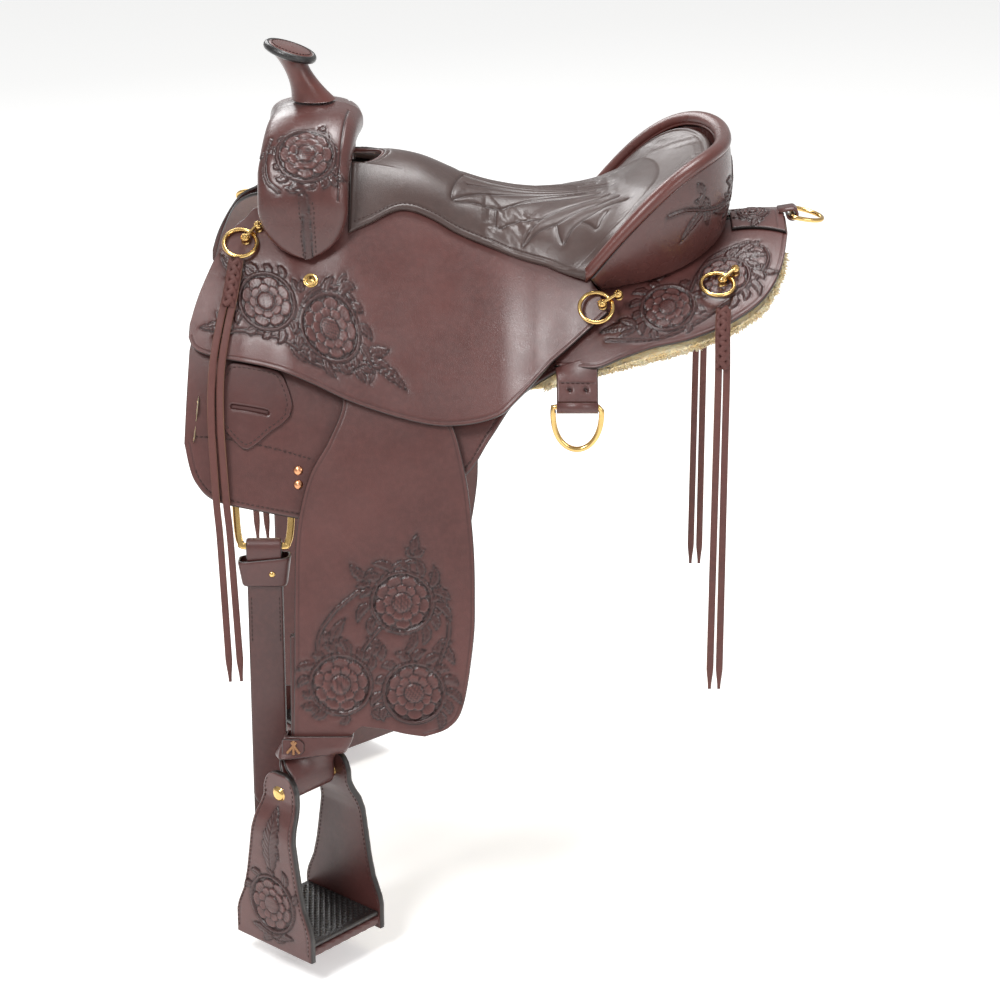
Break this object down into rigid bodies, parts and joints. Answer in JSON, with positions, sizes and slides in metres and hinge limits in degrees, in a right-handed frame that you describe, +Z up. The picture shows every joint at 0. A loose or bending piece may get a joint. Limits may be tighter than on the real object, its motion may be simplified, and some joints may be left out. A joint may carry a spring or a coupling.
{
  "type": "western saddle",
  "caption": "Western trail saddle with horn, padded seat, floral tooled leather skirts and fenders, fleece lining, brass rings and hanging stirrups.",
  "frame": {"origin": "on the centre line of the horse's back, under the seat", "axes": "+Z up, +X to the rear (the cantle), -Y to the near (left) side"},
  "size_m": [0.7277, 0.7142, 0.9909],
  "materials": {
    "tooled_leather": "floral tooled, satin, antiqued dark brown",
    "plain_leather": "smooth satin brown, dark cut edges",
    "roll_leather": "glossy reddish brown",
    "seat_leather": "soft satin, quilted stitching",
    "black_leather": "glossy black",
    "string_leather": "latigo with paler flesh side",
    "rawhide_tree": "wood covered with rawhide",
    "fleece": "curly wool pile, cream",
    "brass": "polished"
  },
  "bodies": {
    "saddle": {"tree_fork": "rawhide_tree", "tree_bar_near": "rawhide_tree", "tree_bar_off": "rawhide_tree", "cantle_board": "rawhide_tree", "ground_seat": "rawhide_tree", "swell_cover": "tooled_leather", "horn_neck": "roll_leather", "horn_cap": "tooled_leather", "horn_band": "black_leather", "seat_cover": "seat_leather", "cantle_roll": "roll_leather", "cantle_back": "tooled_leather", "jockey_near": "tooled_leather", "jockey_off": "tooled_leather", "rear_jockey_near": "tooled_leather", "rear_jockey_off": "tooled_leather", "skirt_near": "tooled_leather", "skirt_off": "tooled_leather", "fleece_near": "fleece", "fleece_off": "fleece", "latigo_keeper_near": "plain_leather", "latigo_keeper_off": "plain_leather", "front_rigging_near": "brass", "front_rigging_off": "brass", "front_clip_near": "brass", "front_clip_off": "brass", "middle_clip_near": "brass", "middle_clip_off": "brass", "rear_clip_near": "brass", "rear_clip_off": "brass", "crupper_strap": "tooled_leather"},
    "leg_near": {"fender_near": "tooled_leather", "stirrup_leather_near": "plain_leather", "hobble_strap_near": "plain_leather"},
    "stirrup_near": {"stirrup_near": "plain_leather", "tread_near": "black_leather"},
    "latigo": {"latigo_near": "plain_leather"},
    "rear_dee_near": {"rear_dee_near": "brass"},
    "front_ring_near": {"front_ring_near": "brass"},
    "front_strings_near": {"front_string_a_near": "string_leather", "front_string_b_near": "string_leather"},
    "middle_ring_near": {"middle_ring_near": "brass"},
    "rear_ring_near": {"rear_ring_near": "brass"},
    "rear_strings_near": {"rear_string_a_near": "string_leather", "rear_string_b_near": "string_leather"},
    "leg_off": {"fender_off": "tooled_leather", "stirrup_leather_off": "plain_leather", "hobble_strap_off": "plain_leather"},
    "stirrup_off": {"stirrup_off": "plain_leather", "tread_off": "black_leather"},
    "billet": {"billet_off": "plain_leather"},
    "rear_dee_off": {"rear_dee_off": "brass"},
    "front_ring_off": {"front_ring_off": "brass"},
    "front_strings_off": {"front_string_a_off": "string_leather", "front_string_b_off": "string_leather"},
    "middle_ring_off": {"middle_ring_off": "brass"},
    "rear_ring_off": {"rear_ring_off": "brass"},
    "rear_strings_off": {"rear_string_a_off": "string_leather", "rear_string_b_off": "string_leather"},
    "crupper_ring": {"crupper_ring": "brass"}
  },
  "joints": [
    {"name": "leg_swing_near", "type": "hinge", "parent": "saddle", "child": "leg_near", "pos_m": [-0.18513, -0.15218, -0.07453], "axis": [0, -0.9781, 0.2079], "range_deg": [-3, 4]},
    {"name": "stirrup_swing_near", "type": "hinge", "parent": "leg_near", "child": "stirrup_near", "pos_m": [-0.219, -0.27131, -0.54731], "axis": [0.6691, 0.7431, 0], "range_deg": [-40, 40]},
    {"name": "latigo_swing", "type": "hinge", "parent": "saddle", "child": "latigo", "pos_m": [-0.266, -0.20802, -0.28465], "axis": [-1, 0, 0], "range_deg": [-10, 5]},
    {"name": "rear_dee_swing_near", "type": "hinge", "parent": "saddle", "child": "rear_dee_near", "pos_m": [0.086, -0.20372, -0.12012], "axis": [-1, 0, 0], "range_deg": [-25, 80]},
    {"name": "front_ring_lift_near", "type": "hinge", "parent": "saddle", "child": "front_ring_near", "pos_m": [-0.27939, -0.08624, 0.04591], "axis": [-0.736, 0.5054, 0.4505], "range_deg": [0, 35]},
    {"name": "front_strings_hang_near", "type": "hinge", "parent": "front_ring_near", "child": "front_strings_near", "pos_m": [-0.30437, -0.10838, 0.02994], "axis": [-0.736, 0.5054, 0.4505], "range_deg": [-35, 0]},
    {"name": "middle_ring_lift_near", "type": "hinge", "parent": "saddle", "child": "middle_ring_near", "pos_m": [0.12303, -0.15102, -0.0124], "axis": [-0.494, 0.5934, 0.6354], "range_deg": [0, 100]},
    {"name": "rear_ring_lift_near", "type": "hinge", "parent": "saddle", "child": "rear_ring_near", "pos_m": [0.25674, -0.11706, 0.004], "axis": [-0.6929, 0.6488, 0.3147], "range_deg": [0, 100]},
    {"name": "rear_strings_hang_near", "type": "hinge", "parent": "rear_ring_near", "child": "rear_strings_near", "pos_m": [0.23009, -0.14078, -0.00579], "axis": [-0.6929, 0.6488, 0.3147], "range_deg": [-100, 0]},
    {"name": "leg_swing_off", "type": "hinge", "parent": "saddle", "child": "leg_off", "pos_m": [-0.18513, 0.15218, -0.07453], "axis": [0, -0.9781, -0.2079], "range_deg": [-3, 4]},
    {"name": "stirrup_swing_off", "type": "hinge", "parent": "leg_off", "child": "stirrup_off", "pos_m": [-0.219, 0.27131, -0.54731], "axis": [-0.6691, 0.7431, 0], "range_deg": [-40, 40]},
    {"name": "billet_swing", "type": "hinge", "parent": "saddle", "child": "billet", "pos_m": [-0.266, 0.20802, -0.28465], "axis": [1, 0, 0], "range_deg": [-10, 5]},
    {"name": "rear_dee_swing_off", "type": "hinge", "parent": "saddle", "child": "rear_dee_off", "pos_m": [0.086, 0.20372, -0.12012], "axis": [1, 0, 0], "range_deg": [-25, 80]},
    {"name": "front_ring_lift_off", "type": "hinge", "parent": "saddle", "child": "front_ring_off", "pos_m": [-0.27939, 0.08624, 0.04591], "axis": [0.736, 0.5054, -0.4505], "range_deg": [0, 35]},
    {"name": "front_strings_hang_off", "type": "hinge", "parent": "front_ring_off", "child": "front_strings_off", "pos_m": [-0.30437, 0.10838, 0.02994], "axis": [0.736, 0.5054, -0.4505], "range_deg": [-35, 0]},
    {"name": "middle_ring_lift_off", "type": "hinge", "parent": "saddle", "child": "middle_ring_off", "pos_m": [0.12303, 0.15102, -0.0124], "axis": [0.494, 0.5934, -0.6354], "range_deg": [0, 100]},
    {"name": "rear_ring_lift_off", "type": "hinge", "parent": "saddle", "child": "rear_ring_off", "pos_m": [0.25674, 0.11706, 0.004], "axis": [0.6929, 0.6488, -0.3147], "range_deg": [0, 100]},
    {"name": "rear_strings_hang_off", "type": "hinge", "parent": "rear_ring_off", "child": "rear_strings_off", "pos_m": [0.23009, 0.14078, -0.00579], "axis": [0.6929, 0.6488, -0.3147], "range_deg": [-100, 0]},
    {"name": "crupper_ring_lift", "type": "hinge", "parent": "saddle", "child": "crupper_ring", "pos_m": [0.336, 0, 0.0467], "axis": [0, -1, 0], "range_deg": [0, 150]}
  ],
  "couplings": [
    {"joint": "front_strings_hang_near", "follows": "front_ring_lift_near", "ratio": -1},
    {"joint": "front_strings_hang_off", "follows": "front_ring_lift_off", "ratio": -1},
    {"joint": "rear_strings_hang_near", "follows": "rear_ring_lift_near", "ratio": -1},
    {"joint": "rear_strings_hang_off", "follows": "rear_ring_lift_off", "ratio": -1}
  ]
}
